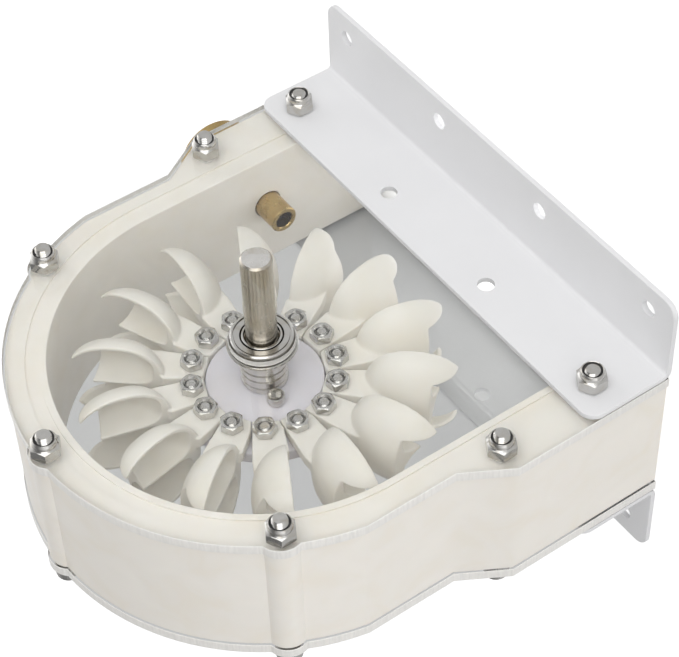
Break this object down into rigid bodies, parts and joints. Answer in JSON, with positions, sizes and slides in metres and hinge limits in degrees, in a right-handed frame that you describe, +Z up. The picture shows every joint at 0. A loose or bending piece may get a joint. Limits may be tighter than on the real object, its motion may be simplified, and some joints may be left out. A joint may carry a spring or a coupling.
{
  "type": "pelton wheel turbine",
  "caption": "Small Pelton water turbine: a runner of double-cup buckets on a level shaft, in a white housing between clear covers, with a brass nozzle and two feet of steel angle.",
  "frame": {"origin": "on the floor, in the middle of the front angle's flange, straight below the shaft's axis", "axes": "+Y along the shaft from the front, where its long end is, to the rear; +X towards the nozzle's side; +Z up"},
  "size_m": [0.1523, 0.0959, 0.1377],
  "materials": {
    "wall_plastic": "satin",
    "clear_cover": "clear, polished",
    "bracket_paint": "satin white",
    "brass": "turned",
    "bearing_steel": "ground",
    "shaft_steel": "turned",
    "fastener_steel": "bright",
    "disc_plastic": "satin",
    "bucket_plastic": "satin"
  },
  "bodies": {
    "housing": {"housing_wall": "wall_plastic", "front_cover": "clear_cover", "rear_cover": "clear_cover", "front_angle_bracket": "bracket_paint", "rear_angle_bracket": "bracket_paint", "nozzle_tube": "brass", "nozzle_fitting": "brass", "front_bearing_outer_race": "bearing_steel", "rear_bearing_outer_race": "bearing_steel", "tie_bolt_upper_right": "fastener_steel", "tie_bolt_top": "fastener_steel", "tie_bolt_upper_left": "fastener_steel", "tie_bolt_lower_right": "fastener_steel", "tie_bolt_lower_left": "fastener_steel", "bracket_bolt_right": "fastener_steel", "bracket_bolt_left": "fastener_steel"},
    "runner": {"shaft": "shaft_steel", "hub_sleeve": "shaft_steel", "rear_spacer": "shaft_steel", "front_bearing_inner_race": "bearing_steel", "rear_bearing_inner_race": "bearing_steel", "runner_disc": "disc_plastic", "hub_screw_1": "fastener_steel", "hub_screw_2": "fastener_steel", "bucket_01": "bucket_plastic", "bucket_02": "bucket_plastic", "bucket_03": "bucket_plastic", "bucket_04": "bucket_plastic", "bucket_05": "bucket_plastic", "bucket_06": "bucket_plastic", "bucket_07": "bucket_plastic", "bucket_08": "bucket_plastic", "bucket_09": "bucket_plastic", "bucket_10": "bucket_plastic", "bucket_11": "bucket_plastic", "bucket_12": "bucket_plastic", "bucket_13": "bucket_plastic", "bucket_14": "bucket_plastic"}
  },
  "joints": [
    {"name": "runner_spin", "type": "hinge", "parent": "housing", "child": "runner", "pos_m": [0, 0.0321, 0.0717], "axis": [0, 1, 0], "continuous": true}
  ]
}
